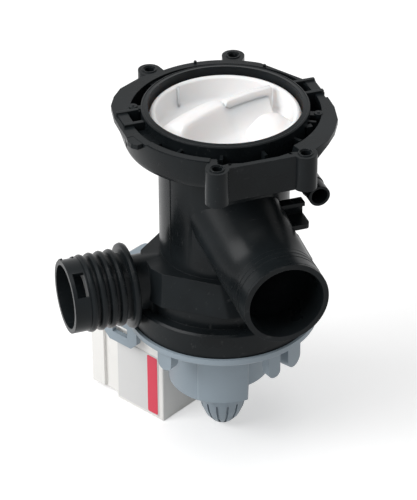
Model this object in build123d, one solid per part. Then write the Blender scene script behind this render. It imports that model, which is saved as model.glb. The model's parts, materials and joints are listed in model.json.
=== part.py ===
from build123d import *
import math
import os

# Washer drain pump: a filter housing with its lint filter, on a wet rotor synchronous motor.
# Lengths are millimetres. +Z runs out of the filter's mouth.
# The origin is the centre of the four ears' holes, on the ears' top plane.

# Filter mouth: the collar that the filter screws into
collar_radius = 38.0
collar_wall = 3.0
collar_rise = 3.1
collar_depth = 16.0
mouth_edge = 0.8

# Flange tray around the collar
tray_radius = 46.8
tray_depth = 12.0
tray_floor = 2.6
tray_round = 4.0
trough_radius = 43.2
tray_rib_width = 1.4
tray_rib_reach = 3.4
tray_rib_drop = 1.2
tray_rib_height = 6.0
tray_rib_angles = (-140.0, -112.0, -84.0, -56.0, -31.0, -19.0, 154.0)

# The two wings of the flange
wing_radius = 52.0
wing_thickness = 2.4
wing_lip = 6.0
wing_lip_wall = 2.0
wing_shares = (
    (
        (108, 0.9), (123, 0.95), (138, 0.997), (147, 1.0), (156, 0.995), (168, 0.965), (179, 0.948),
        (190, 0.96),
    ),
    ((-5, 0.92), (-16, 0.945), (-29, 0.979), (-40, 0.994), (-50, 1.012), (-60, 1.008), (-72, 0.95)),
)
chord_reach = 44.4
chord_angle = 32.0

# Ears that take the screws of the machine's front
ear_spacing_x = 41.0
ear_spacing_y = 94.4
ear_radius = 5.3
ear_hole_radius = 2.25
ear_web_radius = 4.0
ear_web_share = 0.86
ear_height = 17.0
front_wall = 2.5
front_wall_reach = 48.6
front_bump_radius = 2.3
front_bump_place = 11.2
front_bump_height = 9.0

# Clip brackets at both sides of the tray
clip_low = 0.9
clip_high = 12.2
clip_plate = 1.5
clip_reach = 47.8
clip_pad = 5.4
clip_pad_drop = 0.9

# Neck, the round body that the filter hangs in
neck_radius = 30.0
neck_wall = 2.5
neck_shift = -0.6
chamber_floor = -83.5
partition = 2.5

# Inlet spigot, towards -Y
inlet_x = 5.5
inlet_z = -64.0
inlet_radius = 20.0
inlet_wall = 2.5
inlet_reach = 66.0
inlet_root_radius = 19.5
hood_start = 46.0
hood_start_radius = 19.7
hood_end = 15.0
hood_shift = 9.8
hood_rise = 25.4
hood_radius = 20.6
hood_wall = 3.0

# Pump chamber and the volute's outside
motor_x = -1.3
motor_y = 0.6
volute_radius = 42.0
volute_top = -71.5
volute_low = -86.0
volute_corner = 3.0
volute_top_shares = (
    (-0.93, 0.19), (-0.93, -0.19), (-0.845, -0.345), (-0.34, -0.75), (0.143, -0.82),
    (0.62, -0.6), (0.83, -0.095), (0.7, 0.43), (0.238, 0.76), (-0.38, 0.68),
)
volute_low_shares = (
    (-0.98, 0.22), (-0.98, -0.3), (-0.9, -0.47), (-0.3, -0.93), (0.24, -0.97),
    (0.77, -0.68), (1.0, -0.095), (0.86, 0.53), (0.333, 0.94), (-0.43, 0.9),
)
waist_radius = 38.2
skirt_top = -93.5
skirt_bottom = -106.0
skirt_radius = 43.6
skirt_bore_radius = 39.0
skirt_bore_top = -97.6
skirt_round = 1.0
eye_radius = 11.0
impeller_room_radius = 27.0
impeller_room_top = -86.0
passage_low = -98.0
passage_half_width = 13.0
catch_width = 6.6
catch_thickness = 2.2
catch_leg = 1.9
catch_pocket = 3.4
catch_top = -84.4
catch_reach = 41.6
catch_angle = 198.6

# Outlet spigot, towards -X
outlet_y = 1.7
outlet_z = -84.8
outlet_root_radius = 13.5
outlet_groove_radius = 15.6
outlet_band_radius = 17.2
outlet_wall = 2.2
outlet_mouth = -77.3
outlet_band_end = -69.6
outlet_groove_end = -46.2
outlet_rib_radius = 18.2
outlet_rib_width = 3.2
outlet_rib_first = -68.0
outlet_rib_pitch = 4.72
outlet_ribs = 4
rib_round_share = 0.44
ease_share = 0.293
outlet_stop_radius = 20.1
outlet_stop_width = 3.4
outlet_stop_place = -48.0
outlet_inner_end = -31.5
window_start = -75.4
window_end = -70.2
window_low_angle = 22.0
window_high_angle = 62.0

# Drain nipple and its bracket
nipple_radius = 5.0
nipple_bore_radius = 3.85
nipple_shoulder = -29.5
nipple_shoulder_radius = 5.4
nipple_x = 31.2
nipple_z = -29.8
nipple_mouth = -38.0
nipple_back = -9.0
nipple_cross_y = -14.0
nipple_arm_radius = 4.4
nipple_web = 2.4
bracket_thickness = 2.0
bracket_top = -37.4
bracket_front = -29.0
bracket_back = -24.0
bracket_side = 27.8
bracket_drop = 7.6
tab_reach = 12.0
tab_width = 10.0
tab_round = 2.0

# Filter: cap, its ring and the cage below it
filter_gap = 0.35
cap_top = -0.2
cap_depth = 15.0
cup_radius = 31.1
cup_floor = 2.4
cup_depth = 12.8
cap_edge = 0.6
cap_thread_step = 1.4
fin_thickness = 3.0
fin_rise = 1.4
fin_shares = ((0.835, 0.39), (0.065, 0.2), (-0.81, -0.3))
mound_radius = 12.5
mound_x = 18.0
mound_y = 7.7
mound_drop = 2.4
ramp_radius = 24.0
ramp_x = 12.0
ramp_y = 7.0
ramp_drop = 0.4
ramp_angle = 29.5
bead_radius = 0.9
bead_angles = (128.0, 308.0)
ring_section = 1.6
ring_seat = 3.0
seal_gap = 0.05
seal_corner = 0.6
cage_radius = 25.2
cage_wall = 1.8
cage_length = 52.0
cage_base = 2.0
cage_slot_width = 3.4
cage_slots = 14
cage_slot_top = 8.0
cage_slot_low = 44.0
cage_hoop_place = 26.0
cage_hoop_height = 3.0
cage_gate_half_width = 14.0
cage_hole_radius = 1.7
cage_hole_near = 8.0
cage_hole_far = 16.0
cage_hole_count = 6
cage_hole_sides = 6

# Motor body: the slate grey moulding that carries the stator and the rotor
stator_angle = 119.0
rim_radius = 44.9
rim_top = -106.1
rim_thickness = 3.4
spigot_radius = 38.7
spigot_top = -99.0
groove_depth = 1.9
groove_height = 2.4
groove_low = -103.6
drum_radius = 22.4
drum_wall = 1.8
drum_bottom = -139.6
drum_round = 1.2
pole_case_radius = 25.8
pole_case_back = -13.5
pole_case_bottom = -145.2
column_width = 26.0
column_reach = 27.5
column_draft = 1.3
column_bottom = -142.6
column_angle = 251.0
can_radius = 11.2
can_wall = 1.4
can_bottom = -143.6
tail_root_radius = 12.5
tail_upper_radius = 11.4
tail_mid_radius = 10.4
tail_low_radius = 8.1
tail_neck_radius = 5.2
tail_tip_radius = 4.4
tail_root = -151.0
tail_upper = -157.0
tail_mid = -161.5
tail_low = -167.0
tail_neck = -170.4
tail_tip = -172.2
tail_tip_cut = 1.5
tail_flutes = 14
tail_flute_angle = 263.0
flute_width = 1.0
flute_depth = 1.1
tongue_half_width = 16.5
tongue_reach = 65.0
tongue_thickness = 3.4
lobe_ring_radius = 39.6
lobe_thickness = 5.0
lobe_angles = (-74.5, -57.0, 211.0, 31.0, 76.0)
lobe_widths = (6.6, 9.5, 8.2, 8.2, 6.6)
lobe_drops = (16.9, 16.5, 13.9, 13.9, 16.9)
lobe_gusset = 5.0
loop_width = 22.0
loop_place = 45.5
loop_bar = 5.0
loop_thickness = 2.6
loop_leg = 6.2
loop_gap = 2.2
loop_corner_share = 0.8
latch_gap = 0.3
latch_room = 0.6

# Bearing cover over the rotor's can
cover_radius = 21.0
cover_thickness = 3.0
cover_plug_depth = 7.0
cover_gap = 0.3
screw_count = 3
screw_ring_radius = 17.4
screw_radius = 1.45
screw_head_radius = 2.7
screw_head_height = 1.2
screw_length = 9.0

# Rotor
shaft_radius = 2.0
shaft_top = -89.6
shaft_bottom = -152.6
running_gap = 0.04
magnet_radius = 10.4
magnet_top = -112.3
magnet_bottom = -140.6
sleeve_radius = 4.6
sleeve_flange = 2.0
sleeve_flange_radius = 8.6
bush_radius = 4.8
bush_height = 7.0
bush_gap = 0.06
rear_bush_top = -143.8
front_bush_top = -100.4
washer_radius = 4.4
washer_thickness = 0.8
washer_gap = 0.15

# Impeller with its free turning dog
impeller_radius = 21.0
impeller_top = -87.6
impeller_disc_top = -94.4
impeller_disc = 1.8
impeller_hub_radius = 6.4
blade_count = 6
blade_thickness = 2.0
blade_bow_angle = 7.0
dog_radius = 5.0
dog_height = 5.0
dog_play_angle = 160.0
dog_width_angle = 60.0
dog_hub_radius = 3.2
stop_slack_angle = 1.5
hub_cap = 1.6
dog_gap = 0.3

# Stator: the steel core, two coils and their white cover
core_top = -116.3
core_bottom = -143.6
core_radius = 23.4
core_gap = 0.3
core_back = 11.0
core_slot = 5.0
leg_inner = 6.0
leg_outer = 12.0
yoke_width = 6.4
bobbin_wall = 0.9
bobbin_flange = 1.0
bobbin_flange_reach = 4.2
bobbin_clearance = 0.1
coil_gap = 0.05
coil_turns_reach = 3.2
winding_round_share = 0.8
case_start = 22.2
case_end = 52.6
coil_side_gap = 0.4
case_wall = 1.5
case_foot = 19.9
case_round = 0.8
case_gap = 0.3
shroud_start = 61.4
shroud_end = 69.5
shroud_rise = 2.6
shroud_step = 1.6
shroud_groove = 2.4
shroud_wall = 1.8
socket_rise = 18.4
socket_height = 20.0
socket_half_width = 11.0
socket_floor = 63.0
blade_tab_height = 6.3
blade_tab_thickness = 0.8
blade_tab_reach = 6.2
blade_tab_places = (-7.5, 7.5)
blade_tab_root = 6.0
lug_width = 8.6
lug_height = 4.4
lug_reach = 4.0
lug_top = -127.0
cutout_start = 34.0
cutout_length = 14.0
cutout_width = 8.0
cutout_height = 5.0
divider = 1.5
divider_room = 9.4

# Rating label, left blank, with its plain band
label_thickness = 0.2
label_margin = 2.7
label_end_margin = 0.8
label_drop = 7.1
label_foot = 1.4
band_width = 6.4
band_margin = 0.7
band_thickness = 0.15
print_gap = 0.02

# Cuts run past the faces that they open by this much
overrun = 1.0

# Places that follow from the sizes above
rim_low = rim_top - rim_thickness
collar_bore = collar_radius - collar_wall
cap_bottom = cap_top - cap_depth
cover_low = spigot_top - cover_thickness
plug_low = cover_low - cover_plug_depth
sleeve_top = magnet_top + sleeve_flange
sleeve_bottom = magnet_bottom - sleeve_flange
front_washer_top = plug_low - washer_gap
rear_washer_top = sleeve_bottom - washer_gap
dog_low = impeller_disc_top - impeller_disc + dog_gap
case_top = rim_low - case_gap
case_half_width = leg_outer + bobbin_clearance + bobbin_flange_reach + coil_side_gap + case_wall
divider_level = core_bottom - divider_room
case_bottom = divider_level - divider - case_foot
socket_low = case_bottom + socket_rise
socket_top = socket_low + socket_height
blade_tab_level = (socket_low + socket_top) / 2
leg_end = case_end - case_wall - case_gap
bobbin_start = case_start + case_wall + case_gap
bobbin_end = leg_end - yoke_width - bobbin_clearance
loop_near = case_half_width + loop_gap
loop_far = loop_near + loop_thickness
loop_window_low = lug_top - lug_height - latch_gap
loop_bottom = loop_window_low - loop_bar
label_top = lug_top - lug_height - label_drop
label_bottom = case_bottom + label_foot
label_start = case_start + label_margin
label_end = case_end - label_end_margin

STANDING = (Align.CENTER, Align.CENTER, Align.MIN)
UPRIGHT = Axis.Z
QUARTER = 90.0
TURN = 360.0


def rod(radius, low, high, x=0.0, y=0.0):
    """An upright cylinder between two levels."""
    return Pos(x, y, low) * Cylinder(radius, high - low, align=STANDING)


def rod_x(radius, start, end, y, z):
    """A cylinder that lies along X."""
    return Pos(start, y, z) * Rot(Y=QUARTER) * Cylinder(radius, end - start, align=STANDING)


def rod_y(radius, start, end, x, z):
    """A cylinder that lies along Y."""
    return Pos(x, start, z) * Rot(X=-QUARTER) * Cylinder(radius, end - start, align=STANDING)


def block(x0, x1, y0, y1, z0, z1):
    """A box between two corners."""
    middle = Pos((x0 + x1) / 2, (y0 + y1) / 2, (z0 + z1) / 2)
    return middle * Box(x1 - x0, y1 - y0, z1 - z0)


def turned(*points):
    """A solid of revolution about Z from points of radius and level."""
    outline = Polyline(*points, close=True)
    return revolve(make_face(Plane.XZ * outline), UPRIGHT)


def eased(radius, level, size):
    """Three points of a turned outline that ease its corner; a negative size eases a top one."""
    depth = abs(size)
    return (
        (radius - depth, level),
        (radius - depth * ease_share, level + size * ease_share),
        (radius, level + size),
    )


def wedge(start, end, reach, low, high):
    """The slice of the space around Z between two angles."""
    middle = (start + end) / 2
    corners = [(0, 0)]
    far = reach / math.cos(math.radians(end - start) / 4)
    for angle in (start, (start + middle) / 2, middle, (middle + end) / 2, end):
        turn = math.radians(angle)
        corners.append((far * math.cos(turn), far * math.sin(turn)))
    return Pos(0, 0, low) * extrude(make_face(Polyline(*corners, close=True)), high - low)


def polar(radius, angle):
    """A point of the plan from its radius and its angle in degrees."""
    turn = math.radians(angle)
    return radius * math.cos(turn), radius * math.sin(turn)


def edges_at(solid, level, reach=None):
    """The edges that lie in one level plane, or only those of one radius."""
    flat = [e for e in solid.edges() if abs(e.bounding_box().min.Z - level) < print_gap]
    flat = [e for e in flat if abs(e.bounding_box().max.Z - level) < print_gap]
    if reach is None:
        return flat
    return [e for e in flat if e.geom_type == GeomType.CIRCLE and abs(e.radius - reach) < print_gap]


def on_motor(shape):
    """Sets a shape from the motor's axis onto the pump."""
    return Pos(motor_x, motor_y, 0) * shape


def on_stator(shape):
    """Sets a shape of the stator's own frame, X along the legs, onto the pump."""
    return on_motor(Rot(Z=stator_angle) * shape)


def ear_places():
    """The middles of the four ears."""
    half_x = ear_spacing_x / 2
    half_y = ear_spacing_y / 2
    return [(-half_x, half_y), (half_x, half_y), (-half_x, -half_y), (half_x, -half_y)]


def flange():
    """Tray, wings, ears, front wall, ribs and clip brackets around the collar."""
    tray_bottom = -(tray_depth + tray_floor)
    tray = turned((0, tray_bottom), *eased(tray_radius, tray_bottom, tray_round), (tray_radius, 0), (0, 0))
    chord = block(chord_reach, wing_radius, -trough_radius, trough_radius, tray_bottom - overrun, overrun)
    tray -= Rot(Z=chord_angle) * chord
    for shares in wing_shares:
        tray += wing(shares)
    half_x = ear_spacing_x / 2
    for x, y in ear_places():
        boss = Pos(x, y) * Circle(ear_radius)
        root = Pos(x * ear_web_share, y * ear_web_share) * Circle(ear_web_radius)
        ear = make_hull(boss.edges() + root.edges())
        tray += Pos(0, 0, -ear_height) * extrude(ear, ear_height)
    wall_back = front_wall - front_wall_reach
    tray += block(-half_x, half_x, -front_wall_reach, wall_back, -ear_height, 0)
    wall_middle = wall_back - front_wall / 2
    tray += block(-half_x, half_x, wall_middle, -trough_radius, -ear_height, tray_bottom + overrun)
    tray -= rod(trough_radius, -tray_depth, overrun)
    for side in (-1, 1):
        place = side * front_bump_place
        tray += rod(front_bump_radius, -front_bump_height, 0, place, front_bump_radius - front_wall_reach)
    tray += rod(collar_radius, tray_bottom, collar_rise)
    rib = block(
        collar_radius - collar_wall / 2, collar_radius + tray_rib_reach,
        -tray_rib_width / 2, tray_rib_width / 2,
        -tray_rib_drop - tray_rib_height, -tray_rib_drop,
    )
    for angle in tray_rib_angles:
        tray += Rot(Z=angle) * rib
    for side in (-1, 1):
        tray += clip_bracket(side)
    for x, y in ear_places():
        tray -= rod(ear_hole_radius, -ear_height - overrun, overrun, x, y)
    return tray


def wing(shares):
    """One wing: a flat plate with a lip below its edge."""
    corners = []
    inner = []
    for angle, share in shares:
        reach = wing_radius * share
        corners.append(polar(reach, angle))
        inner.append(polar(reach - wing_lip_wall, angle))
    plate = extrude(make_face(Polyline((0, 0), *corners, close=True)), -wing_lip)
    hollow = extrude(make_face(Polyline((0, 0), *inner, close=True)), -wing_lip - overrun)
    return plate - Pos(0, 0, -wing_thickness) * hollow


def clip_bracket(side):
    """Two plates across the trough with a pad between them at the rim."""
    near = collar_radius - collar_wall / 2
    plates = block(near, clip_reach, clip_low - clip_plate / 2, clip_low + clip_plate / 2, -tray_depth, 0)
    plates += block(near, clip_reach, clip_high - clip_plate / 2, clip_high + clip_plate / 2, -tray_depth, 0)
    plates += block(clip_reach - clip_pad, clip_reach, clip_low, clip_high, -tray_depth, -clip_pad_drop)
    return plates if side > 0 else mirror(plates, Plane.YZ)


def volute():
    """The pump chamber's outside, with its nose towards the outlet, its waist and its skirt."""
    levels = ((volute_top, volute_top_shares), (volute_low, volute_low_shares))
    faces = []
    for level, shares in levels:
        corners = [(volute_radius * x, volute_radius * y, level) for x, y in shares]
        faces.append(make_face(FilletPolyline(*corners, radius=volute_corner, close=True)))
    body = loft(faces, ruled=True)
    body += on_motor(rod(waist_radius, skirt_top, volute_low))
    skirt = rod(skirt_radius, skirt_bottom, skirt_top)
    body += on_motor(chamfer(edges_at(skirt, skirt_top), skirt_round))
    near = waist_radius - catch_thickness
    half = catch_width / 2
    catch = block(near, catch_reach, -half, half, skirt_top - overrun, catch_top)
    catch -= block(
        catch_reach - catch_pocket, catch_reach + overrun, catch_leg - half, half + overrun,
        skirt_top, catch_top - catch_leg,
    )
    return body + Rot(Z=catch_angle) * catch


def round_disc(radius, width, place):
    """One rib of the outlet across its axis, with eased edges."""
    half = width / 2
    size = width * rib_round_share
    near = eased(radius, -half, size)
    far = eased(radius, half, -size)
    disc = turned((0, -half), *near, *reversed(far), (0, half))
    return Pos(place, outlet_y, outlet_z) * Rot(Y=QUARTER) * disc


def outlet():
    """The ribbed spigot of the outlet, still solid."""
    tube = rod_x(outlet_root_radius, outlet_mouth, outlet_inner_end, outlet_y, outlet_z)
    tube += rod_x(outlet_groove_radius, outlet_mouth, outlet_groove_end, outlet_y, outlet_z)
    tube += rod_x(outlet_band_radius, outlet_mouth, outlet_band_end, outlet_y, outlet_z)
    for step in range(outlet_ribs):
        tube += round_disc(outlet_rib_radius, outlet_rib_width, outlet_rib_first + step * outlet_rib_pitch)
    return tube + round_disc(outlet_stop_radius, outlet_stop_width, outlet_stop_place)


def inlet_pipe():
    """The inlet's pipe, still solid: a straight mouth, then a slight draft towards the neck."""
    straight = inlet_reach - hood_start
    pipe = turned(
        (0, 0), (inlet_radius, 0), (inlet_radius, straight),
        (inlet_root_radius, inlet_reach), (0, inlet_reach),
    )
    return Pos(inlet_x, -inlet_reach, inlet_z) * Rot(X=-QUARTER) * pipe


def hood(wall):
    """The slanting hood that widens the inlet up to the neck, drawn in by a wall for its hollow."""
    near = Pos(inlet_x, -hood_start, inlet_z)
    far = Pos(inlet_x - hood_shift, -hood_end, inlet_z + hood_rise)
    small = near * Rot(X=QUARTER) * Circle(hood_start_radius - wall)
    large = far * Rot(X=QUARTER) * Circle(hood_radius - wall)
    return loft([small.face(), large.face()], ruled=True)


def nipple():
    """The small hose nipple beside the neck, with its arm, its web and the bracket below it."""
    tube = rod_y(nipple_radius, nipple_mouth, nipple_back, nipple_x, nipple_z)
    tube += rod_y(nipple_shoulder_radius, nipple_shoulder, nipple_back, nipple_x, nipple_z)
    tube += rod_x(nipple_arm_radius, neck_radius / 2, nipple_x, nipple_cross_y, nipple_z)
    web_x = nipple_x - nipple_web / 2
    web_top = -tray_depth - tray_floor / 2
    tube += block(web_x, web_x + nipple_web, nipple_cross_y * 2, nipple_cross_y, nipple_z, web_top)
    low = bracket_top - bracket_drop
    plate = block(0, bracket_side, bracket_front, bracket_back, bracket_top - bracket_thickness, bracket_top)
    plate += block(0, bracket_side, bracket_back - bracket_thickness, bracket_back, low, bracket_top)
    tab_front = bracket_back - tab_reach
    tab_low = low - bracket_thickness
    tab = block(bracket_side - tab_width, bracket_side, tab_front, bracket_back, tab_low, low + overrun / 2)
    corner = tab.edges().filter_by(UPRIGHT).sort_by(Axis.X)[-2:].sort_by(Axis.Y)[0]
    return tube + plate + fillet(corner, tab_round)


def pump_housing():
    """The black moulding: flange, neck, volute, inlet, outlet and nipple, bored out."""
    neck_bore = neck_radius - neck_wall
    body = flange() + rod(neck_radius, skirt_top, -tray_depth, neck_shift)
    body += volute()
    body += outlet()
    body += nipple()
    body += inlet_pipe()
    body += hood(0)
    body -= rod(collar_bore, -collar_depth, collar_rise + overrun)
    body -= rod(neck_bore, chamber_floor, -collar_depth + overrun, neck_shift)
    body -= rod_y(inlet_radius - inlet_wall, -inlet_reach - overrun, 0, inlet_x, inlet_z)
    body -= hood(hood_wall)
    body -= on_motor(rod(eye_radius, impeller_room_top - overrun, chamber_floor + overrun))
    body -= on_motor(rod(impeller_room_radius, skirt_bore_top - overrun, impeller_room_top))
    body -= on_motor(rod(skirt_bore_radius, skirt_bottom - overrun, skirt_bore_top))
    bore = outlet_root_radius - outlet_wall
    body -= rod_x(bore, outlet_mouth - overrun, outlet_inner_end, outlet_y, outlet_z)
    body -= block(
        outlet_inner_end - outlet_wall, -impeller_room_radius / 2,
        outlet_y - bore, outlet_y + bore, passage_low, impeller_room_top,
    )
    mouth_bore = outlet_band_radius - outlet_wall
    body -= rod_x(mouth_bore, outlet_mouth - overrun, window_end, outlet_y, outlet_z)
    body -= outlet_window()
    body -= rod_y(nipple_bore_radius, nipple_mouth - overrun, nipple_cross_y, nipple_x, nipple_z)
    cross_bore = nipple_bore_radius - nipple_radius + nipple_arm_radius
    body -= rod_x(cross_bore, neck_bore / 2, nipple_x, nipple_cross_y, nipple_z)
    return body


def outlet_window():
    """The cut in the mouth's wall, between two angles around the outlet's axis."""
    low = QUARTER + window_low_angle
    high = QUARTER + window_high_angle
    segment = wedge(low, high, outlet_stop_radius, window_start, window_end)
    return Pos(0, outlet_y, outlet_z) * Rot(Y=QUARTER) * Rot(Z=QUARTER) * segment


def filter_cap():
    """The white screw cap with its cup, grip fin and finger mounds."""
    outer = collar_bore - filter_gap
    cap = rod(outer, cap_bottom, cap_top)
    cap = chamfer(edges_at(cap, cap_top), cap_edge)
    floor = cap_top - cup_depth
    root = floor - cup_floor / 2
    cap -= rod(cup_radius, floor, cap_top + overrun)
    seat = cap_bottom + ring_seat
    groove = rod(outer + overrun, seat - ring_section, seat + ring_section)
    cap -= groove - rod(outer - ring_section, seat - ring_section * 2, seat + ring_section * 2)
    right, middle, left = [(cup_radius * x, cup_radius * y) for x, y in fin_shares]
    mound = Pos(mound_x, -mound_y, cap_top - mound_drop - mound_radius) * Sphere(mound_radius)
    cap += mound & rod(cup_radius, root, cap_top)
    ramp = Pos(-ramp_x, ramp_y, cap_top - ramp_drop - ramp_radius) * Sphere(ramp_radius)
    ramp &= rod(cup_radius, root, cap_top)
    wide = cup_radius * 2
    cap += ramp & Pos(*middle, 0) * Rot(Z=ramp_angle) * block(-wide, 0, 0, wide, root, cap_top)
    fin = trace(ThreePointArc(right, middle, left), fin_thickness)
    cap += Pos(0, 0, root) * extrude(fin, cap_top + fin_rise - root)
    for angle in bead_angles:
        x, y = polar(cup_radius, angle)
        cap += rod(bead_radius, root, cap_top - cap_edge * 2, x, y)
    return cap


def filter_cage():
    """The lint cage: slotted wall, hoop, an open gate towards the inlet and a holed base."""
    top = cap_bottom
    bottom = top - cage_length
    floor = bottom + cage_base
    inside = rod(cage_radius - cage_wall, floor, top - cage_base)
    cage = rod(cage_radius, bottom, top) - inside
    half = cage_slot_width / 2
    slot = block(0, cage_radius + overrun, -half, half, top - cage_slot_low, top - cage_slot_top)
    for step in range(cage_slots):
        cage -= Rot(Z=step * TURN / cage_slots) * slot
    hoop_top = top - cage_hoop_place
    hoop_low = hoop_top - cage_hoop_height
    cage += rod(cage_radius, hoop_low, hoop_top) - inside
    half = cage_gate_half_width
    cage -= block(-half, half, -cage_radius - overrun, -cage_radius / 2, floor, hoop_low)
    hole = extrude(RegularPolygon(cage_hole_radius, cage_hole_sides), cage_base + overrun * 2)
    for ring, count in ((cage_hole_near, cage_hole_count), (cage_hole_far, cage_hole_count * 2)):
        for step in range(count):
            x, y = polar(ring, step * TURN / count)
            cage -= Pos(x, y, bottom - overrun) * hole
    return cage


def soft_ring(inner, outer, low, high):
    """A seal ring with its outer corners cut."""
    cut = seal_corner
    return turned(
        (inner, low), (outer - cut, low), (outer, low + cut),
        (outer, high - cut), (outer - cut, high), (inner, high),
    )


def filter_seal():
    """The soft ring in the cap's groove."""
    seat = cap_bottom + ring_seat
    half = ring_section - seal_gap
    inner = collar_bore - filter_gap - ring_section + seal_gap
    return soft_ring(inner, collar_bore - seal_gap, seat - half, seat + half)


def tail():
    """The fluted end of the rotor's can, tapering to the tip."""
    start = drum_bottom + drum_wall
    body = turned(
        (0, start), (tail_root_radius, start),
        (tail_root_radius, tail_root), (tail_upper_radius, tail_upper),
        (tail_mid_radius, tail_mid), (tail_low_radius, tail_low), (tail_neck_radius, tail_neck),
        (tail_tip_radius, tail_tip + tail_tip_cut),
        (tail_tip_radius - tail_tip_cut, tail_tip), (0, tail_tip),
    )
    far = tail_upper_radius + overrun
    outline = Polyline(
        (tail_upper_radius - flute_depth, tail_upper), (tail_mid_radius - flute_depth, tail_mid),
        (tail_low_radius - flute_depth, tail_low), (tail_neck_radius - flute_depth, tail_neck),
        (far, tail_neck), (far, tail_upper), close=True,
    )
    groove = extrude(make_face(Plane.XZ * outline), flute_width / 2, both=True)
    for step in range(tail_flutes):
        body -= Rot(Z=tail_flute_angle + step * TURN / tail_flutes) * groove
    return body


def lobe(angle, width, bottom):
    """One rounded hook of the rim's edge, with its small gusset."""
    near = lobe_ring_radius - lobe_thickness / 2
    far = near + lobe_thickness
    middle = bottom + width / 2
    slab = block(near, far, -width / 2, width / 2, middle, rim_top - rim_thickness)
    slab += rod_x(width / 2, near, far, 0, middle)
    points = ((near - lobe_gusset, rim_top - rim_thickness), (near, rim_top - rim_thickness), (near, middle))
    web = extrude(make_face(Plane.XZ * Polyline(*points, close=True)), tray_rib_width / 2, both=True)
    return Rot(Z=angle) * (slab + web)


def column():
    """The tall boss on the drum's front, with a bowed face."""
    half = column_width / 2
    far = half - column_draft
    plan = make_face(Polyline((0, -half), (column_reach, -far), (column_reach, far), (0, half), close=True))
    boss = Pos(0, 0, column_bottom) * extrude(plan, rim_low - column_bottom)
    boss &= rod(column_reach, column_bottom, rim_low)
    return fillet(boss.edges().filter_by(UPRIGHT).sort_by(Axis.X)[-2:], drum_round)


def motor_body():
    """Rim, spigot, drum, column, rotor can, tail, tongue, hooks and the latch loop."""
    body = rod(rim_radius, rim_low, rim_top)
    body = chamfer(edges_at(body, rim_low), mouth_edge)
    body += rod(spigot_radius, rim_low, spigot_top)
    drum = rod(drum_radius, drum_bottom, rim_low)
    body += chamfer(edges_at(drum, drum_bottom), drum_round)
    body += Rot(Z=column_angle) * column()
    pole_case = rod(pole_case_radius, pole_case_bottom, rim_low)
    pole_case = chamfer(edges_at(pole_case, pole_case_bottom), drum_round)
    wide = pole_case_radius
    pole_case &= block(pole_case_back, wide, -wide, wide, pole_case_bottom, rim_low)
    body += Rot(Z=stator_angle) * pole_case
    body += tail()
    tongue_low = rim_top - tongue_thickness
    tongue = block(0, tongue_reach, -tongue_half_width, tongue_half_width, tongue_low, rim_top)
    tongue = fillet(tongue.edges().filter_by(UPRIGHT).sort_by(Axis.X)[-2:], tab_round)
    body += Rot(Z=stator_angle) * tongue
    for angle, width, drop in zip(lobe_angles, lobe_widths, lobe_drops):
        body += lobe(angle, width, rim_top - drop)
    body += Rot(Z=stator_angle) * latch_loop()
    groove = rod(spigot_radius + overrun, groove_low, groove_low + groove_height)
    groove_high = groove_low + groove_height
    body -= groove - rod(spigot_radius - groove_depth, groove_low - overrun, groove_high + overrun)
    # Bore for the rotor, the pocket for its rear bush and the seat for the bearing cover
    body -= rod(can_radius, can_bottom, spigot_top + overrun)
    body -= rod(bush_radius + bush_gap, rear_bush_top - bush_height, can_bottom + overrun)
    body -= rod(shaft_radius + overrun, shaft_bottom - overrun, rear_bush_top)
    body -= rod(cover_radius + cover_gap, cover_low, spigot_top + overrun)
    # Room for the poles around the can, open towards the coils
    room_low = core_bottom - core_gap
    room_high = core_top + core_gap
    room = rod(core_radius + core_gap, room_low, room_high)
    room &= block(-core_back - core_gap, wide, -wide, wide, room_low, room_high)
    legs = leg_outer + core_gap
    room += block(-core_back, wide, -legs, legs, room_low, room_high)
    room -= rod(can_radius + can_wall, room_low, room_high)
    side = block(case_start - core_gap, wide + overrun, -wide, wide, pole_case_bottom - overrun, rim_low)
    body -= Rot(Z=stator_angle) * (room + side)
    for step in range(screw_count):
        x, y = polar(screw_ring_radius, step * TURN / screw_count + QUARTER)
        body -= rod(screw_radius, cover_low - screw_length, spigot_top, x, y)
    return on_motor(body)


def latch_loop():
    """The loop that hangs from the tongue and holds the coil cover's lug."""
    start = loop_place - loop_width / 2
    end = loop_place + loop_width / 2
    loop = block(start, end, loop_near, loop_far, loop_bottom, rim_low)
    loop -= block(
        start + loop_leg, end - loop_leg, loop_near - overrun, loop_far + overrun,
        loop_window_low, lug_top + latch_room,
    )
    corners = loop.edges().filter_by(Axis.Y).group_by(UPRIGHT)[0]
    loop = chamfer(corners, loop_bar * loop_corner_share)
    tongue_low = rim_top - tongue_thickness
    return loop + block(start, end, tongue_half_width - overrun, loop_far, tongue_low, rim_top)


def housing_seal():
    """The soft ring between the motor and the housing's skirt."""
    low = groove_low + seal_gap
    high = groove_low + groove_height - seal_gap
    inner = spigot_radius - groove_depth + seal_gap
    return on_motor(soft_ring(inner, skirt_bore_radius - seal_gap, low, high))


def bearing_cover():
    """The plate over the rotor's can, with its plug, its bush seat and screw holes."""
    cover = rod(cover_radius, cover_low, spigot_top)
    cover += rod(can_radius - cover_gap, plug_low, cover_low)
    cover -= rod(bush_radius + bush_gap, front_bush_top - bush_height, spigot_top + overrun)
    cover -= rod(shaft_radius + overrun, plug_low - overrun, spigot_top)
    for step in range(screw_count):
        x, y = polar(screw_ring_radius, step * TURN / screw_count + QUARTER)
        cover -= rod(screw_radius + running_gap, cover_low - overrun, spigot_top + overrun, x, y)
        seat = spigot_top - screw_head_height
        cover -= rod(screw_head_radius + cover_gap, seat, spigot_top + overrun, x, y)
    return on_motor(cover)


def cover_screw_set():
    """The three screws that hold the bearing cover."""
    head_low = spigot_top - screw_head_height
    screws = []
    for step in range(screw_count):
        x, y = polar(screw_ring_radius, step * TURN / screw_count + QUARTER)
        screw = rod(screw_head_radius, head_low, spigot_top, x, y)
        screw += rod(screw_radius - running_gap, head_low - screw_length, head_low, x, y)
        screws.append(on_motor(screw))
    return Compound(children=screws)


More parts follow.
